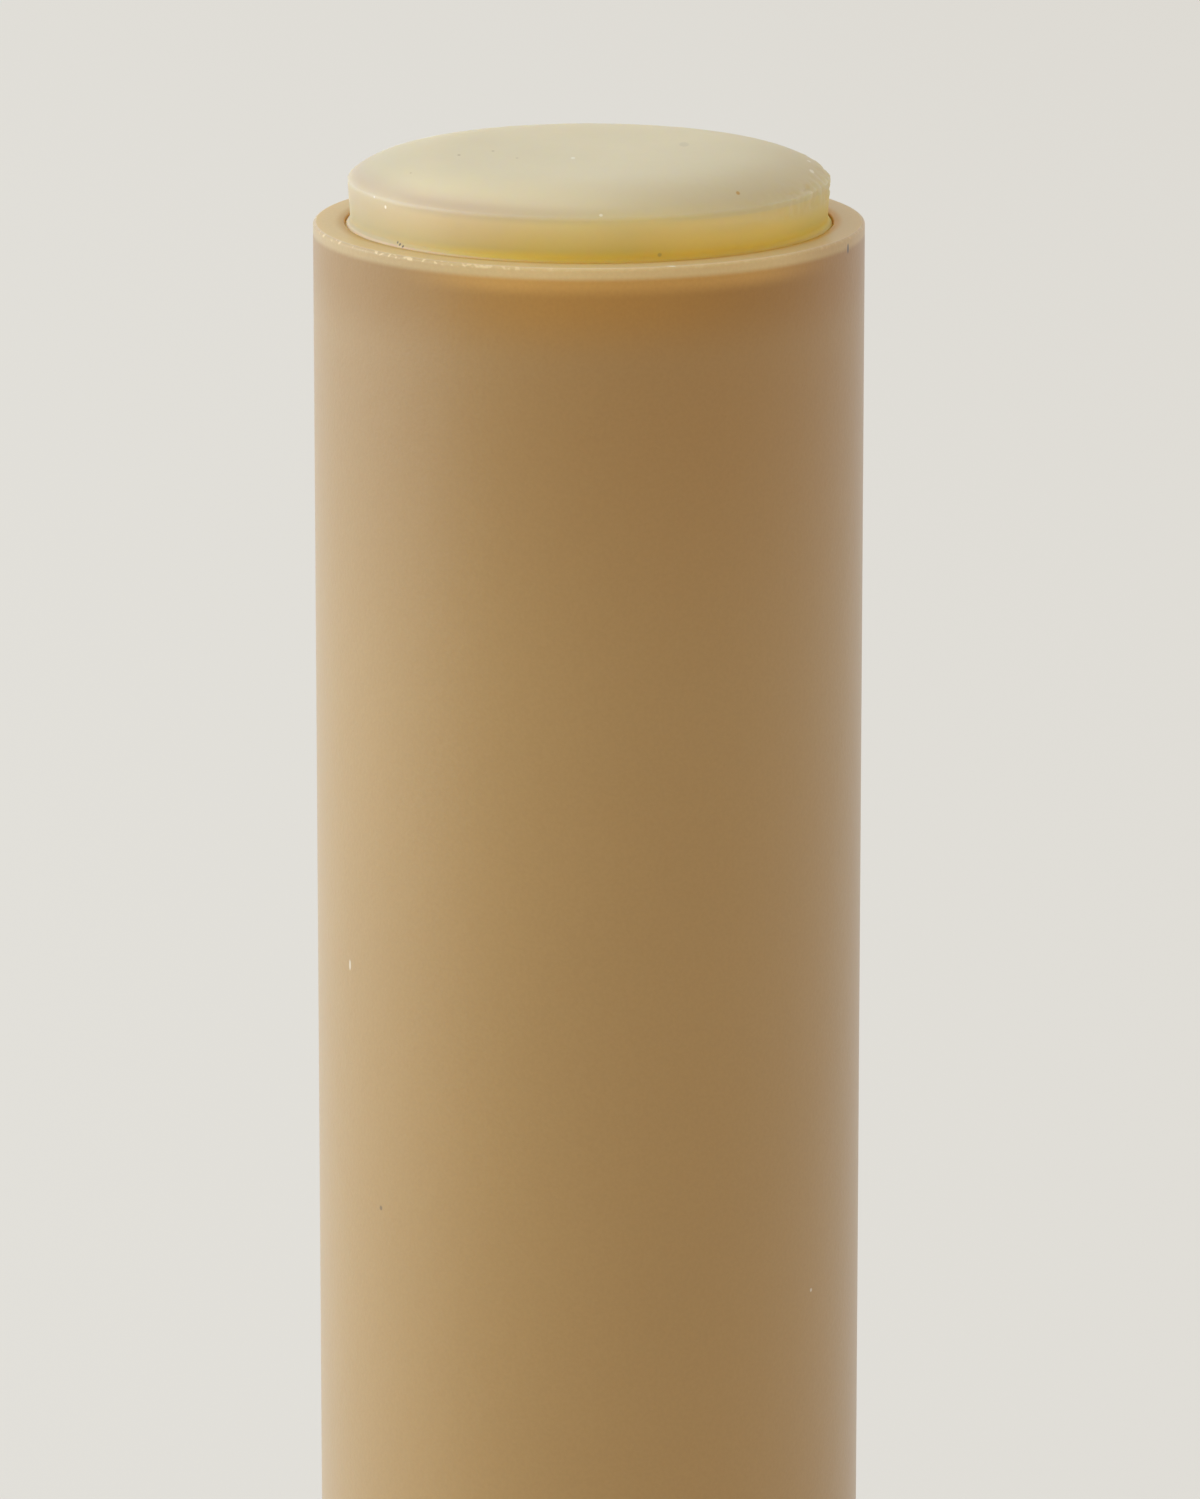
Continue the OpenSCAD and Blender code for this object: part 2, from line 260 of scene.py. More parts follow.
def set_round(piece, count, shift, start=0.0):
    """Moves a piece out by shift and sets copies of it at even steps round Z, in one mesh."""
    select_points(piece, lambda place: True)
    bpy.ops.transform.translate(value=shift)
    bpy.ops.transform.rotate(value=start, orient_axis="Z", center_override=AXIS)
    bpy.ops.mesh.spin(steps=count - 1, dupli=True, angle=2 * math.pi * (count - 1) / count,
                      center=AXIS, axis=(0, 0, 1))
    bpy.ops.object.mode_set(mode="OBJECT")


def combine(piece, other, operation):
    """Joins another closed shape to a piece, or cuts it out."""
    deselect_all()
    bpy.context.view_layer.objects.active = piece
    piece.select_set(True)
    bpy.ops.object.modifier_add(type="BOOLEAN")
    cut = piece.modifiers[-1]
    cut.operation = operation
    cut.object = other
    cut.solver = "EXACT"
    bpy.ops.object.modifier_apply(modifier=cut.name)
    bpy.data.objects.remove(other)


def pointed_bars(name, count, radius, axis, point, tip, bottom, top):
    """Round bars with pointed tops that stand in a ring, for the ribs and their grooves."""
    outline = [(0, bottom), (radius, bottom), (radius, top - point), (tip, top), (0, top)]
    bars = spun(name, outline, 32)
    set_round(bars, count, (axis, 0, 0), math.radians(45))
    return bars


def block(name, low, high):
    """A block between two corners."""
    deselect_all()
    middle = [(a + b) / 2 for a, b in zip(low, high)]
    bpy.ops.mesh.primitive_cube_add(size=1, location=middle, scale=[b - a for a, b in zip(low, high)])
    piece = bpy.context.object
    piece.name = piece.data.name = name
    bpy.ops.object.transform_apply(location=True, rotation=True, scale=True)
    return piece


def finish_piece(piece, body, replaced, smooth_angle, material):
    """Shades a piece, gives it its material, ties it to its body and hides the frame node that it replaces.
    """
    deselect_all()
    piece.select_set(True)
    bpy.context.view_layer.objects.active = piece
    bpy.ops.object.shade_smooth_by_angle(angle=math.radians(smooth_angle))
    piece.data.materials.clear()
    piece.data.materials.append(material)
    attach(piece, body)
    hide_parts(replaced)


# Materials

# Marks on the surface, some of them painted glints: place and radii in mm, colour, strength
BARREL_SPOTS = (
    ((6.456, -2.573, 63.72), (0.05, 0.08, 0.16), (0.04, 0.02, 0.01), 1.0),
    ((-5.267, -4.535, 39.43), (0.07, 0.07, 0.08), (0.12, 0.07, 0.03), 0.7),
    ((-6.043, -3.432, 45.50), (0.05, 0.07, 0.17), (0.62, 0.52, 0.38), 0.8),
    ((5.648, -4.050, 37.12), (0.05, 0.06, 0.06), (0.66, 0.58, 0.46), 0.8),
    # A painted glint on the rim's front edge
    ((2.009, -6.565, 64.0), (0.14, 0.05, 0.05), (0.85, 0.78, 0.62), 0.8),
)
# Painted glints on the wax
PAINTED_GLINT = (0.85, 0.84, 0.78)
BROWN_DOT = (0.30, 0.20, 0.09)
WAX_SPOTS = (
    ((-5.035, -3.354, 64.907), (0.06, 0.06, 0.06), PAINTED_GLINT, 0.55),
    ((-5.318, -2.885, 65.078), (0.05, 0.05, 0.04), PAINTED_GLINT, 0.35),
    ((5.542, 0.263, 65.45), (0.07, 0.16, 0.10), PAINTED_GLINT, 0.35),
    ((5.589, -0.912, 65.40), (0.09, 0.18, 0.10), PAINTED_GLINT, 0.4),
    ((-0.399, -1.046, 65.75), (0.07, 0.20, 0.06), PAINTED_GLINT, 0.4),
    ((0.295, -6.020, 65.17), (0.06, 0.06, 0.05), PAINTED_GLINT, 0.45),
    ((-3.260, -0.592, 65.75), (0.055, 0.13, 0.05), BROWN_DOT, 0.6),
    ((-2.413, 0.016, 65.75), (0.05, 0.12, 0.05), BROWN_DOT, 0.5),
    ((-1.801, -1.046, 65.75), (0.05, 0.12, 0.05), BROWN_DOT, 0.35),
    ((3.681, -4.257, 65.41), (0.065, 0.11, 0.10), (0.42, 0.24, 0.05), 0.9),
    ((1.745, -5.793, 64.135), (0.08, 0.08, 0.07), BROWN_DOT, 0.4),
    ((2.40, 1.02, 65.75), (0.16, 0.45, 0.06), (0.42, 0.36, 0.24), 0.4),
    ((-4.430, -2.450, 65.55), (0.05, 0.12, 0.10), BROWN_DOT, 0.5),
    ((-4.758, -3.736, 64.09), (0.05, 0.05, 0.05), (0.10, 0.06, 0.03), 0.8),
    ((-4.690, -3.822, 64.05), (0.05, 0.05, 0.05), (0.10, 0.06, 0.03), 0.8),
    ((-4.600, -3.930, 64.01), (0.05, 0.05, 0.05), (0.10, 0.06, 0.03), 0.8),
)


class Nodes:
    """Adds nodes to a material and links them by socket name."""

    def __init__(self, name):
        self.material = bpy.data.materials.new(name)
        self.material.use_nodes = True
        self.tree = self.material.node_tree
        self.shader = self.tree.nodes["Principled BSDF"]
        self.place = self.tree.nodes.new("ShaderNodeTexCoord").outputs["Object"]

    def add(self, kind, **settings):
        node = self.tree.nodes.new(kind)
        for key, value in settings.items():
            setattr(node, key, value)
        return node

    def link(self, source, target):
        self.tree.links.new(source, target)

    def noise(self, scale, detail=3.0):
        """Even noise over the piece. scale is in grains a metre."""
        node = self.add("ShaderNodeTexNoise")
        node.inputs["Scale"].default_value = scale
        node.inputs["Detail"].default_value = detail
        self.link(self.place, node.inputs["Vector"])
        return node.outputs["Fac"]

    def maths(self, operation, a, b=0.0):
        node = self.add("ShaderNodeMath", operation=operation)
        for socket, value in zip(node.inputs, (a, b)):
            if isinstance(value, (int, float)):
                socket.default_value = value
            else:
                self.link(value, socket)
        return node.outputs[0]

    def ramp(self, value, low, high, start=0.0, end=1.0, smooth=True):
        """Maps value from low..high to start..end."""
        node = self.add("ShaderNodeMapRange", interpolation_type="SMOOTHSTEP" if smooth else "LINEAR")
        for key, number in (("From Min", low), ("From Max", high), ("To Min", start), ("To Max", end)):
            node.inputs[key].default_value = number
        self.link(value, node.inputs["Value"])
        return node.outputs["Result"]

    def along(self, direction):
        """How far a point lies along a direction, in metres."""
        node = self.add("ShaderNodeVectorMath", operation="DOT_PRODUCT")
        self.link(self.place, node.inputs[0])
        node.inputs[1].default_value = direction
        return node.outputs["Value"]

    def outwards(self):
        """How far a point lies from the axis, in metres."""
        flat = self.add("ShaderNodeVectorMath", operation="MULTIPLY")
        self.link(self.place, flat.inputs[0])
        flat.inputs[1].default_value = (1, 1, 0)
        node = self.add("ShaderNodeVectorMath", operation="LENGTH")
        self.link(flat.outputs[0], node.inputs[0])
        return node.outputs["Value"]

    def both(self, *masks):
        """1 where every mask is 1."""
        product = masks[0]
        for mask in masks[1:]:
            product = self.maths("MULTIPLY", product, mask)
        return product

    def mix(self, factor, a, b, blend="MIX"):
        """Mixes two colours, each given as a colour or a socket."""
        node = self.add("ShaderNodeMix", data_type="RGBA", blend_type=blend)
        for socket, value in ((node.inputs[0], factor), (node.inputs[6], a), (node.inputs[7], b)):
            if isinstance(value, (int, float)):
                socket.default_value = value
            elif isinstance(value, (tuple, list)):
                socket.default_value = (*value, 1.0)
            else:
                self.link(value, socket)
        return node.outputs[2]

    def spot(self, centre, radii):
        """1 in the middle of a small ellipsoid round centre, falling to 0 at its radii."""
        shift = self.add("ShaderNodeVectorMath", operation="SUBTRACT")
        self.link(self.place, shift.inputs[0])
        shift.inputs[1].default_value = centre
        scale = self.add("ShaderNodeVectorMath", operation="DIVIDE")
        self.link(shift.outputs[0], scale.inputs[0])
        scale.inputs[1].default_value = radii
        size = self.add("ShaderNodeVectorMath", operation="LENGTH")
        self.link(scale.outputs[0], size.inputs[0])
        return self.ramp(size.outputs["Value"], 0.5, 1.0, 1.0, 0.0)

    def bump(self, height, distance, below=None):
        node = self.add("ShaderNodeBump")
        node.inputs["Distance"].default_value = distance
        self.link(height, node.inputs["Height"])
        if below is not None:
            self.link(below, node.inputs["Normal"])
        return node.outputs["Normal"]

    def surface(self, colour, normal, **values):
        """Links the shader's colour and normal, and sets its other inputs, named with _ for a space."""
        self.link(colour, self.shader.inputs["Base Color"])
        self.link(normal, self.shader.inputs["Normal"])
        for name, value in values.items():
            self.shader.inputs[name.replace("_", " ")].default_value = value
        return self.material


class PlacedNodes(Nodes):
    """Nodes with masks that are placed in mm, from the rim and the axis."""

    def __init__(self, name):
        super().__init__(name)
        self.height = self.along((0, 0, 1))
        self.sideways = self.along((1, 0, 0))
        self.out = self.outwards()

    def above(self, low, high, start=0.0, end=1.0, smooth=True):
        """Maps the height above the rim."""
        return self.ramp(self.height, RIM_Z + low * MM, RIM_Z + high * MM, start, end, smooth)

    def across(self, low, high, start=0.0, end=1.0, smooth=True):
        """Maps the place from left to right of the axis."""
        return self.ramp(self.sideways, low * MM, high * MM, start, end, smooth)

    def beyond(self, radius, low, high, start=0.0, end=1.0):
        """Maps how far out a point lies beyond a radius, which is in metres."""
        return self.ramp(self.out, radius + low * MM, radius + high * MM, start, end)

    def spots(self, colour, spots):
        """Lays small marks over a colour, each with its place, its radii in mm, its colour and strength."""
        for place, radii, tone, strength in spots:
            mask = self.spot([MM * c for c in place], [MM * r for r in radii])
            colour = self.mix(self.maths("MULTIPLY", mask, strength), colour, tone)
        return colour


def tan_plastic(name, tint, sheen):
    """Matte, slightly translucent moulded plastic in a warm tan, with light and shade painted into its
    colour near the rim: a painted glow and pale band where light is caught in the rim, painted shade on the
    wall below, a painted sheen on the rim's top and painted glints on its edge.
    """
    nodes = PlacedNodes(name)
    mix, both, above, across = nodes.mix, nodes.both, nodes.above, nodes.across

    def tan(red, green, blue):
        return (red * tint[0], green * tint[1], blue * tint[2])

    clouds = mix(nodes.noise(160.0, 4.0), tan(0.97, 0.97, 0.97), tan(1.03, 1.03, 1.03))
    # Painted shade: the wall darkens towards the rim, most on the left
    side = mix(across(-6.0, 4.0), tan(0.88, 0.84, 0.77), tan(0.94, 0.87, 0.75))
    upper = mix(above(-12, -3), clouds, side)
    # Painted glow: light soaking in at the rim and through the wax inside warms the wall just below the
    # rim, most of all in front and weakest on the left
    left = mix(across(-5.5, -0.5), tan(0.78, 0.66, 0.30), tan(1.01, 0.82, 0.34))
    glow = mix(across(1.0, 5.5), left, tan(0.86, 0.68, 0.24))
    warm = mix(above(-2.6, -0.8), upper, glow)
    # Painted light: a brighter band just below the rim in front
    front = both(across(-5.0, -1.5), across(4.0, 6.4, 1.0, 0.0), above(-0.8, -0.4))
    lit = mix(front, warm, tan(1.36, 1.20, 0.70))
    # Painted light: light leaving the thin rim again is painted as a pale band, and light coming through
    # the wax is painted onto its inner edge
    band = mix(across(-5.5, -0.5), tan(1.12, 1.24, 1.45), tan(1.64, 1.98, 2.70))
    band = mix(across(4.5, 6.3), band, tan(1.25, 1.35, 1.45))
    edge = mix(above(-0.36, -0.2), lit, band)
    # Painted sheen: the rim's flat top is painted pale and bluish white, in place of the sheen of the
    # lights on it
    top = mix(across(-6.0, 6.0), tan(1.66, 2.08, 3.10), tan(1.62, 2.06, 3.30))
    flat = mix(both(above(-0.05, -0.01), nodes.beyond(NECK_R, -0.09, -0.05, 1.0, 0.0)), edge, top)
    # Painted light through the wax on the rim's inner edge: pale on the left, amber on the right
    inner = mix(across(-4.5, 0.0), tan(1.36, 1.43, 1.42), tan(1.49, 1.37, 0.53))
    rim = mix(both(nodes.beyond(NECK_R, -0.75, -0.5, 1.0, 0.0), above(-1.5, -0.3)), flat, inner)
    # Painted glints: small burrs on the rim's outer edge catch the light, painted most strongly on the left
    burr_glint = both(nodes.ramp(nodes.noise(6000.0, 1.0), 0.52, 0.64), above(-0.10, -0.05),
                nodes.beyond(NECK_R, -0.09, -0.04), across(-3.0, 1.0, 0.7, 0.2))
    rim = mix(burr_glint, rim, tan(1.95, 2.5, 4.2))
    grain = mix(nodes.ramp(nodes.noise(11000.0, 2.0), 0.3, 0.7), (0.96, 0.955, 0.95), (1.0, 1.0, 1.0))
    rim = mix(1.0, rim, grain, "MULTIPLY")
    fine = nodes.bump(nodes.noise(9000.0, 2.0), 0.004 * MM)
    return nodes.surface(
        nodes.spots(rim, BARREL_SPOTS), nodes.bump(nodes.noise(900.0, 2.0), 0.01 * MM, below=fine),
        Roughness=0.4, IOR=1.5, Specular_IOR_Level=0.25, Sheen_Weight=sheen, Sheen_Roughness=0.6,
        Subsurface_Weight=0.2, Subsurface_Radius=(1.0, 0.5, 0.2), Subsurface_Scale=0.6 * MM)


def natural_plastic():
    """Uncoloured moulded plastic of the inner pieces."""
    nodes = Nodes("uncoloured_plastic")
    return nodes.surface(
        nodes.mix(nodes.noise(300.0), (0.80, 0.79, 0.73), (0.86, 0.85, 0.80)),
        nodes.bump(nodes.noise(4000.0, 2.0), 0.004 * MM),
        Roughness=0.42, Subsurface_Weight=0.6, Subsurface_Radius=(1.0, 0.9, 0.7),
        Subsurface_Scale=0.8 * MM)


def balm_wax(pale, deep):
    """Cast wax with light and shade painted into its colour: cream on top and where light falls straight on
    it, golden with painted shade down its far side, with painted glints.
    """
    nodes = PlacedNodes("cast_wax")
    mix, both, above, across = nodes.mix, nodes.both, nodes.above, nodes.across
    cloud = mix(nodes.noise(500.0), tuple(0.97 * c for c in pale), tuple(min(1.0, 1.03 * c) for c in pale))
    # Painted shade: the cream dims on its far right, away from the light, and close to its left edge
    far = mix(nodes.ramp(nodes.along((0.94, -0.34, 0)), 0.5 * MM, 6.5 * MM), cloud,
              (0.80, 0.79, 0.76), "MULTIPLY")
    near = mix(across(-6.2, -3.9, 0.68, 0.0), far, (0.64, 0.66, 0.74), "MULTIPLY")
    # Painted shade: the side runs into the deep gold downwards and to the right, away from the light, less
    # so on the crisp lip
    low = both(above(0.0, 1.1, 1.0, 0.22, smooth=False), above(1.0, 1.4, 1.0, 0.0))
    lip = both(above(0.92, 0.98, 0.35, 0.8), above(0.4, 0.9), across(1.0, 4.0))
    away = both(across(-6.1, -1.5, 0.40, 1.0, smooth=False), nodes.maths("SUBTRACT", 1.0, lip))
    side = mix(both(low, away), near, deep)
    # Painted shade dims the lip on the left and in front and on the shoulder's roll, and painted light
    # brightens it right of the middle
    shade = both(above(1.22, 1.55, 1.0, 0.0), across(-3.5, 0.5, 1.0, 0.0))
    side = mix(shade, side, (0.87, 0.81, 0.89), "MULTIPLY")
    roll = both(above(0.85, 1.05), above(1.18, 1.38, 1.0, 0.0),
                across(-5.5, -4.0), across(-1.0, 2.5, 1.0, 0.0))
    side = mix(roll, side, (0.87, 0.86, 0.91), "MULTIPLY")
    lift = both(above(0.8, 1.1, 1.0, 0.0), across(0.5, 3.0), across(4.5, 6.0, 1.0, 0.0))
    side = mix(lift, side, (1.18, 1.16, 1.10), "MULTIPLY")
    # Painted shade turns the foot of the side gold, weaker on the left, and painted light through the wax
    # makes the wax squeezed into the gap amber
    gold = mix(across(-5.5, -2.5), (0.78, 0.55, 0.24), (0.92, 0.64, 0.08))
    foot = both(above(-0.05, 0.30, 1.0, 0.0), across(-6.2, -1.0, 0.6, 1.0))
    amber = mix(across(-5.0, 0.0), (0.90, 0.62, 0.30), (0.85, 0.58, 0.10))
    gap = both(nodes.beyond(BALM_HIGH.x, -0.03, 0.01), above(0.05, 0.10, 1.0, 0.0))
    wax = mix(gap, mix(foot, side, gold), amber)
    return nodes.surface(
        nodes.spots(wax, WAX_SPOTS), nodes.bump(nodes.noise(2500.0), 0.006 * MM),
        Roughness=0.5, IOR=1.44, Specular_IOR_Level=0.25, Subsurface_Weight=1.0,
        Subsurface_Radius=(1.0, 0.75, 0.35), Subsurface_Scale=2.5 * MM)


# Operators

class BALMSTICK_OT_barrel(Operator):
    """Model the barrel: its base, neck, rim, cap bead, floor and guide ribs."""
    bl_idname = "balmstick.barrel"
    bl_label = "Model Barrel"
    bl_options = {"REGISTER", "UNDO"}

    def execute(self, context):
        size = context.scene.balm_barrel
        foot = BARREL_LOW.z
        base_r = BARREL_HIGH.x
        shoulder = foot + size.base_length
        bore = NECK_R - size.wall
        floor_under = WHEEL_HIGH.z + SCREW_FLANGE + FLANGE_GAP
        floor_top = floor_under + size.floor
        bow = (size.bead_height ** 2 / 4 + size.bead ** 2) / (2 * size.bead)
        half = math.degrees(math.asin(size.bead_height / 2 / bow))
        edge = size.edge_round
        outline = [(size.hole, floor_under), (base_r - size.foot_wall, floor_under),
                   (base_r - size.foot_wall, foot)]
        outline += arc((base_r - edge, foot + edge), edge, -90, 0, 6)
        outline += arc((base_r - edge, shoulder - edge), edge, 0, 90, 6)
        outline += [(NECK_R, shoulder)]
        outline += arc((NECK_R + size.bead - bow, shoulder + size.bead_rise), bow, -half, half, 12)
        outline += arc((NECK_R - size.rim_round, RIM_Z - size.rim_round), size.rim_round, 0, 90, 8)
        outline += arc((bore + size.mouth_round, RIM_Z - size.mouth_round), size.mouth_round, 90, 180, 6)
        outline += [(bore, floor_top), (size.hole, floor_top), (size.hole, floor_under)]
        piece = spun("barrel_moulding", outline, size.steps)
        ribs = pointed_bars("ribs", size.ribs, size.rib_bar, size.rib_axis, size.rib_point, 0.02 * MM,
                            floor_top - size.floor / 2, RIM_Z - size.rib_drop)
        combine(piece, ribs, "UNION")
        finish_piece(piece, "tube", "barrel", 30,
                     tan_plastic("moulded_tan", tuple(size.colour), 0.36))
        # The cut face of the rim and the bore have no soft bloom on them
        piece.data.materials.append(tan_plastic("moulded_tan_mouth", tuple(size.colour), 0.0))
        for face in piece.data.polygons:
            out = polar(face.center)[0]
            if out < NECK_R - size.rim_round and face.center.z > floor_top:
                face.material_index = 1
        return {"FINISHED"}


class BALMSTICK_OT_wheel(Operator):
    """Model the fluted turning wheel, cored out round its hub."""
    bl_idname = "balmstick.wheel"
    bl_label = "Model Turning Wheel"
    bl_options = {"REGISTER", "UNDO"}

    def execute(self, context):
        size = context.scene.balm_wheel
        outer, top, edge = WHEEL_HIGH.x, size.side_height, size.edge_round
        low_rows = [size.band + height for height in FLUTE_END_HEIGHTS]
        high_rows = [top - size.band - height for height in reversed(FLUTE_END_HEIGHTS)]
        inner = outer - size.wall
        outline = [(0, size.dish_depth), (size.dish - size.dish_depth, size.dish_depth), (size.dish, 0)]
        outline += arc((outer - edge, edge), edge, -90, 0, 8)
        outline += [(outer, height) for height in low_rows + high_rows]
        outline += arc((outer - edge, top - edge), edge, 0, 90, 8)
        soft = 0.1 * MM
        outline += arc((inner + soft, top - soft), soft, 90, 180, 3)
        outline += [(inner, size.floor), (size.hub, size.floor), (size.hub, WHEEL_HIGH.z - soft),
                    (size.hub - soft, WHEEL_HIGH.z), (0, WHEEL_HIGH.z)]
        piece = spun("wheel_moulding", outline, size.flutes * FLUTE_STEPS)
        self.press_flutes(piece, size, outer, low_rows, high_rows)
        webs = block("webs", (0, -size.web / 2, size.dish_depth + size.floor / 2),
                     (inner - size.hub + 1.0 * MM, size.web / 2, top - size.web_drop))
        set_round(webs, size.webs, (size.hub - 0.5 * MM, 0, 0))
        combine(piece, webs, "UNION")
        socket = spun("socket", [(0, size.socket_floor), (size.socket, size.socket_floor),
                                 (size.socket, WHEEL_HIGH.z + MM), (0, WHEEL_HIGH.z + MM)], 6)
        combine(piece, socket, "DIFFERENCE")
        finish_piece(piece, "drive", "turning_wheel", 30,
                     bpy.data.materials["moulded_tan"])
        return {"FINISHED"}

    def press_flutes(self, piece, size, outer, low_rows, high_rows):
        """Presses the flutes into the side, one row and one column of points in each flute at a time."""
        step = 2 * math.pi / (size.flutes * FLUTE_STEPS)
        for column, column_depth in enumerate(FLUTE_COLUMN_DEPTHS):
            for low, high, end_depth in zip(low_rows, reversed(high_rows), FLUTE_END_DEPTHS):
                if not end_depth:
                    continue

                def in_row(place):
                    turn = round(math.atan2(place.y, place.x) / step) % FLUTE_STEPS
                    return (min(turn, FLUTE_STEPS - turn) == column
                            and abs(math.hypot(place.x, place.y) - outer) < 0.01 * MM
                            and min(abs(place.z - low), abs(place.z - high)) < 0.01 * MM)

                select_points(piece, in_row)
                share = 1 - size.flute_depth * column_depth * end_depth / outer
                bpy.ops.transform.resize(value=(share, share, 1), center_override=AXIS)
                bpy.ops.object.mode_set(mode="OBJECT")


class BALMSTICK_OT_balm(Operator):
    """Model the cast balm with its soft lip, its rib grooves and the hollow that the screw runs in."""
    bl_idname = "balmstick.balm"
    bl_label = "Model Balm"
    bl_options = {"REGISTER", "UNDO"}

    def execute(self, context):
        size = context.scene.balm_wax
        barrel = context.scene.balm_barrel
        lip, top = BALM_HIGH.x, BALM_HIGH.z
        side = lip - size.lip
        lip_z = top - size.crown
        skirt_top = CUP_LOW.z + CUP_SKIRT
        in_cup = CUP_HIGH.x - CUP_WALL
        hollow_top = SCREW_HIGH.z + SCREW_HEADROOM
        outline = [(0.5 * MM * i, top) for i in range(7)]
        outline += [(lip - size.crown_width * (1 - share),
                     lip_z + size.crown * (1 - share ** size.crown_start) ** (1 / size.crown_end))
                    for share in (1 - (1 - i / 20) ** 1.8 for i in range(21))]
        depths = [size.lip_height * share for share in (0.25, 0.5, 0.75, 1.0, 1.12)]
        depths += [depths[-1] + (size.lip_fade - depths[-1]) * share for share in (0.25, 0.5, 0.75, 0.97)]
        for depth in depths:
            lip_share = 0.5 + 0.5 * math.cos(math.pi * depth / size.lip_fade)
            outline.append((side + size.lip * lip_share, lip_z - depth))
        outline += [(side + size.squeeze * share, RIM_Z + height) for share, height in SQUEEZED_ROWS]
        outline += [(side, skirt_top), (in_cup, skirt_top), (in_cup, BALM_LOW.z),
                    (NUT_CLEAR_R, BALM_LOW.z), (NUT_CLEAR_R, CUP_HIGH.z), (SCREW_CLEAR_R, CUP_HIGH.z),
                    (SCREW_CLEAR_R, hollow_top), (0, hollow_top)]
        piece = spun("balm_cast", outline, size.steps)
        self.press(piece, "crisp", size.lip, self.crisp_share(size, lip, lip_z))
        self.press(piece, "ragged", size.ragged, self.ragged_share(size, lip, lip_z), noise=0.3 * MM)
        grooves = pointed_bars("grooves", barrel.ribs, size.groove, barrel.rib_axis, barrel.rib_point,
                               size.groove - barrel.rib_bar, BALM_LOW.z - MM,
                               RIM_Z - barrel.rib_drop + SCREW_HEADROOM)
        combine(piece, grooves, "DIFFERENCE")
        fins = block("fin_slots", (0, -FIN_HALF, BALM_LOW.z - MM),
                     (FIN_REACH[1] - FIN_REACH[0], FIN_HALF, skirt_top - 0.5 * MM))
        set_round(fins, CUP_FINS, (FIN_REACH[0], 0, 0))
        combine(piece, fins, "DIFFERENCE")
        finish_piece(piece, "carrier", "balm", 35,
                     balm_wax(tuple(size.colour), tuple(size.deep_shade_colour)))
        return {"FINISHED"}

    def crisp_share(self, size, lip, lip_z):
        """On the right the lip keeps its full width down to a crisp lower edge."""
        def share(place):
            out, turn = polar(place)
            if not lip_z - 1.02 * size.lip_height < place.z < lip_z:
                return 0.0
            return max(0.0, (lip - out) / size.lip) * fall(abs(turn), 50, 75)
        return share

    def ragged_share(self, size, lip, lip_z):
        """On the right a finger or a cap has rubbed small ragged places into the lip."""
        def share(place):
            out, turn = polar(place)
            if place.z < lip_z - 1.02 * size.lip_height:
                return 0.0
            return fall(abs(turn - 15), 40, 70) * fall(lip - out, 0.1 * MM, 0.5 * MM)
        return share

    def press(self, piece, name, depth, share, noise=0.0):
        """Moves points out along their normals by depth, or in and out where noise is given."""
        group = piece.vertex_groups.new(name=name)
        for point in piece.data.vertices:
            weight = share(point.co)
            if weight > 0:
                group.add([point.index], weight, "REPLACE")
        deselect_all()
        bpy.context.view_layer.objects.active = piece
        piece.select_set(True)
        bpy.ops.object.modifier_add(type="DISPLACE")
        push = piece.modifiers[-1]
        push.vertex_group = name
        push.strength = depth
        push.mid_level = 0.0
        if noise:
            push.texture = bpy.data.textures.new(name, type="CLOUDS")
            push.texture.noise_scale = noise
            push.texture.noise_depth = 2
            push.texture.contrast = 1.6
            push.texture_coords = "LOCAL"
            push.mid_level = 0.75
        bpy.ops.object.modifier_apply(modifier=push.name)
        piece.vertex_groups.clear()


class BALMSTICK_OT_inner(Operator):
    """Finish the screw and the carrier cup, which stay as the frame gives them."""
    bl_idname = "balmstick.inner"
    bl_label = "Finish Screw and Cup"
    bl_options = {"REGISTER", "UNDO"}

    def execute(self, context):
        plain = natural_plastic()
        for node in ("spindle", "carrier_cup"):
            for slot in frame["nodes"][node].material_slots:
                slot.material = plain
        return {"FINISHED"}


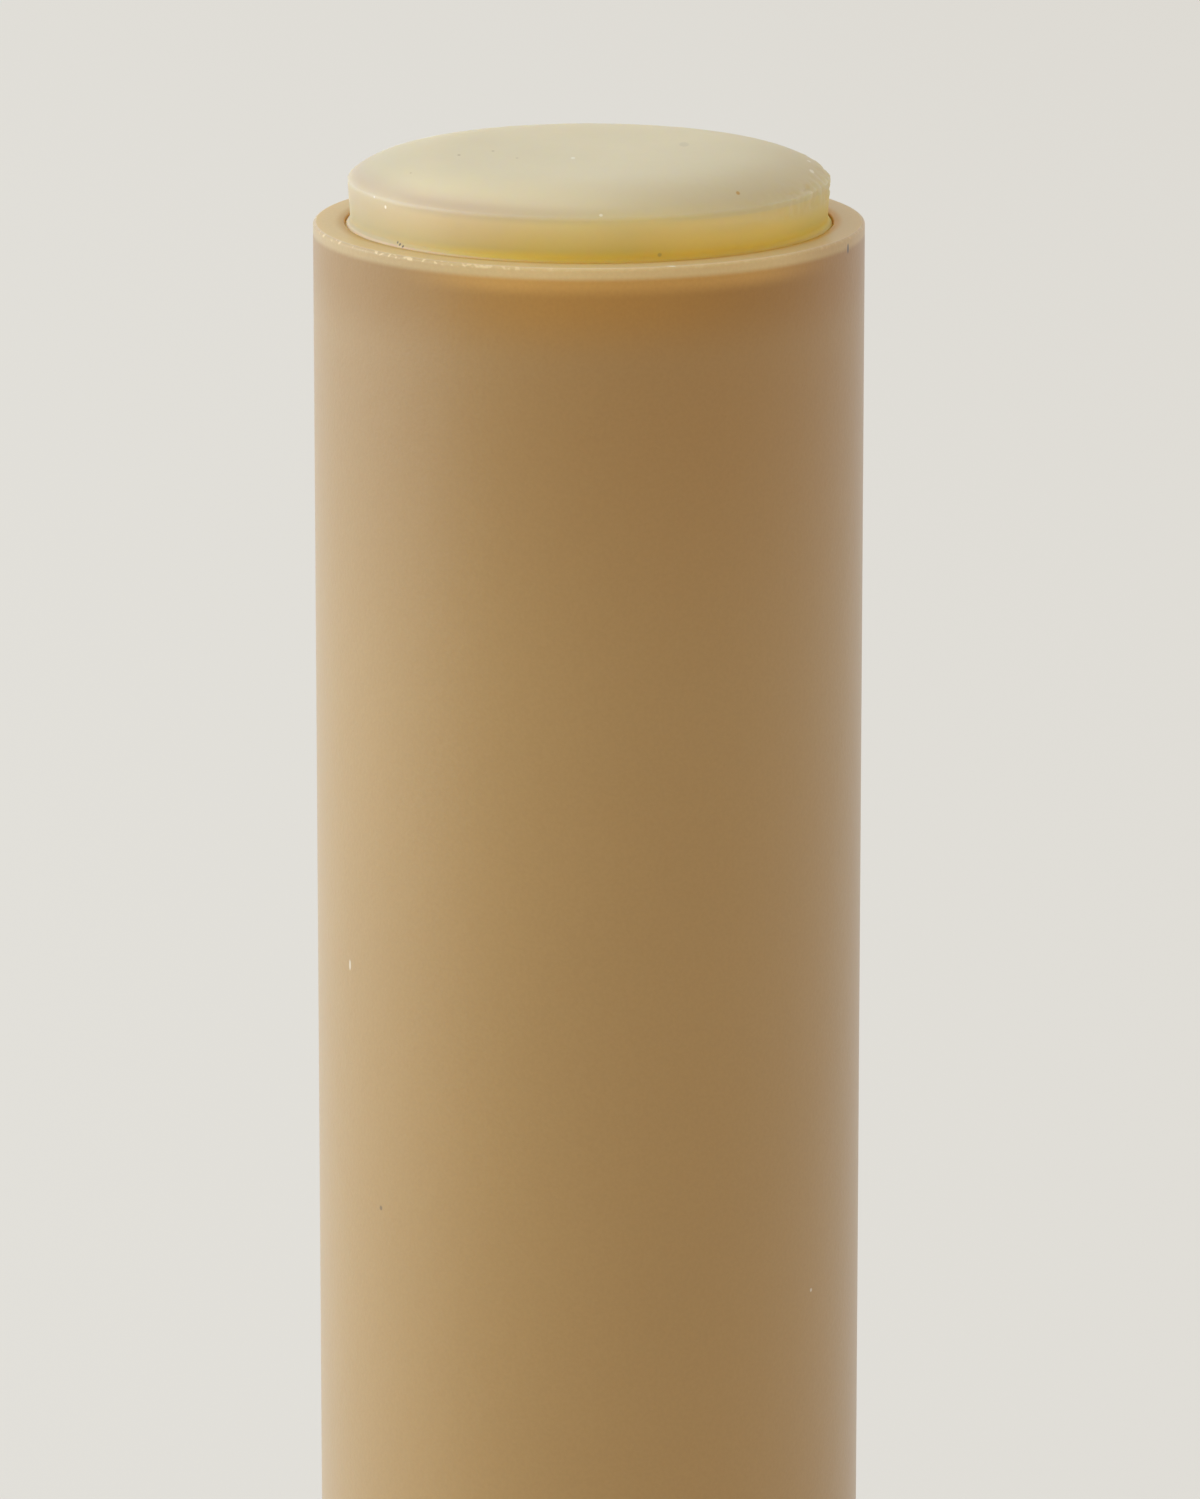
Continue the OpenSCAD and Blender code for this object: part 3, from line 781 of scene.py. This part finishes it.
class BALMSTICK_OT_stage(Operator):
    """Set the floor, the lights and the camera."""
    bl_idname = "balmstick.stage"
    bl_label = "Set Stage"
    bl_options = {"REGISTER", "UNDO"}

    def execute(self, context):
        stage = context.scene.balm_stage
        deselect_all()
        bpy.ops.mesh.primitive_plane_add(size=FLOOR_SIZE, location=(0, 0, 0))
        floor = context.object
        floor.name = "floor"
        nodes = Nodes("floor")
        nodes.shader.inputs["Base Color"].default_value = (*stage.floor_colour, 1.0)
        nodes.shader.inputs["Roughness"].default_value = 0.9
        nodes.shader.inputs["Specular IOR Level"].default_value = 0.0
        floor.data.materials.append(nodes.material)

        world = bpy.data.worlds.new("studio")
        world.use_nodes = True
        context.scene.world = world
        background = world.node_tree.nodes["Background"]
        background.inputs["Color"].default_value = (1.0, 0.985, 0.96, 1.0)
        background.inputs["Strength"].default_value = stage.world_strength

        spot, target = Vector(KEY_PLACE), Vector((0, 0, RIM_Z * 0.6))
        bpy.ops.object.light_add(type="AREA", location=spot)
        key = context.object
        key.name = "key"
        key.rotation_euler = (target - spot).to_track_quat("-Z", "Y").to_euler()
        key.data.shape = "RECTANGLE"
        key.data.size, key.data.size_y = KEY_SIZE
        key.data.energy = stage.key_power
        key.data.color = stage.key_colour
        key.visible_camera = False

        bpy.ops.object.camera_add(location=CAMERA_PLACE, rotation=(math.radians(CAMERA_TILT), 0, 0))
        camera = context.object
        camera.data.sensor_width = 36.0
        camera.data.lens = CAMERA_LENS
        camera.data.shift_x = CAMERA_SHIFT
        context.scene.camera = camera
        context.scene.view_settings.view_transform = "Standard"
        return {"FINISHED"}


class BALMSTICK_PT_panel(Panel):
    """Lists the steps that build the balm stick."""
    bl_idname = "BALMSTICK_PT_panel"
    bl_label = "Balm Stick"
    bl_space_type = "VIEW_3D"
    bl_region_type = "UI"
    bl_category = "Balm Stick"

    def draw(self, context):
        for group, operator in (
                (context.scene.balm_barrel, BALMSTICK_OT_barrel),
                (context.scene.balm_wheel, BALMSTICK_OT_wheel),
                (context.scene.balm_wax, BALMSTICK_OT_balm),
                (context.scene.balm_stage, BALMSTICK_OT_stage)):
            box = self.layout.box()
            for name in group.__annotations__:
                box.prop(group, name)
            box.operator(operator.bl_idname)
        self.layout.operator(BALMSTICK_OT_inner.bl_idname)


GROUPS = {"balm_barrel": BalmStickBarrel, "balm_wheel": BalmStickWheel, "balm_wax": BalmStickWax,
          "balm_stage": BalmStickStage}
OPERATORS = (BALMSTICK_OT_barrel, BALMSTICK_OT_wheel, BALMSTICK_OT_balm, BALMSTICK_OT_inner,
             BALMSTICK_OT_stage)


def register():
    for group in GROUPS.values():
        bpy.utils.register_class(group)
    for name, group in GROUPS.items():
        setattr(bpy.types.Scene, name, PointerProperty(type=group))
    for operator in OPERATORS:
        bpy.utils.register_class(operator)
    bpy.utils.register_class(BALMSTICK_PT_panel)


def unregister():
    bpy.utils.unregister_class(BALMSTICK_PT_panel)
    for operator in reversed(OPERATORS):
        bpy.utils.unregister_class(operator)
    for name in GROUPS:
        delattr(bpy.types.Scene, name)
    for group in reversed(list(GROUPS.values())):
        bpy.utils.unregister_class(group)


def main():
    register()
    bpy.ops.balmstick.barrel()
    bpy.ops.balmstick.wheel()
    bpy.ops.balmstick.balm()
    bpy.ops.balmstick.inner()
    bpy.ops.balmstick.stage()


if __name__ == "__main__":
    main()
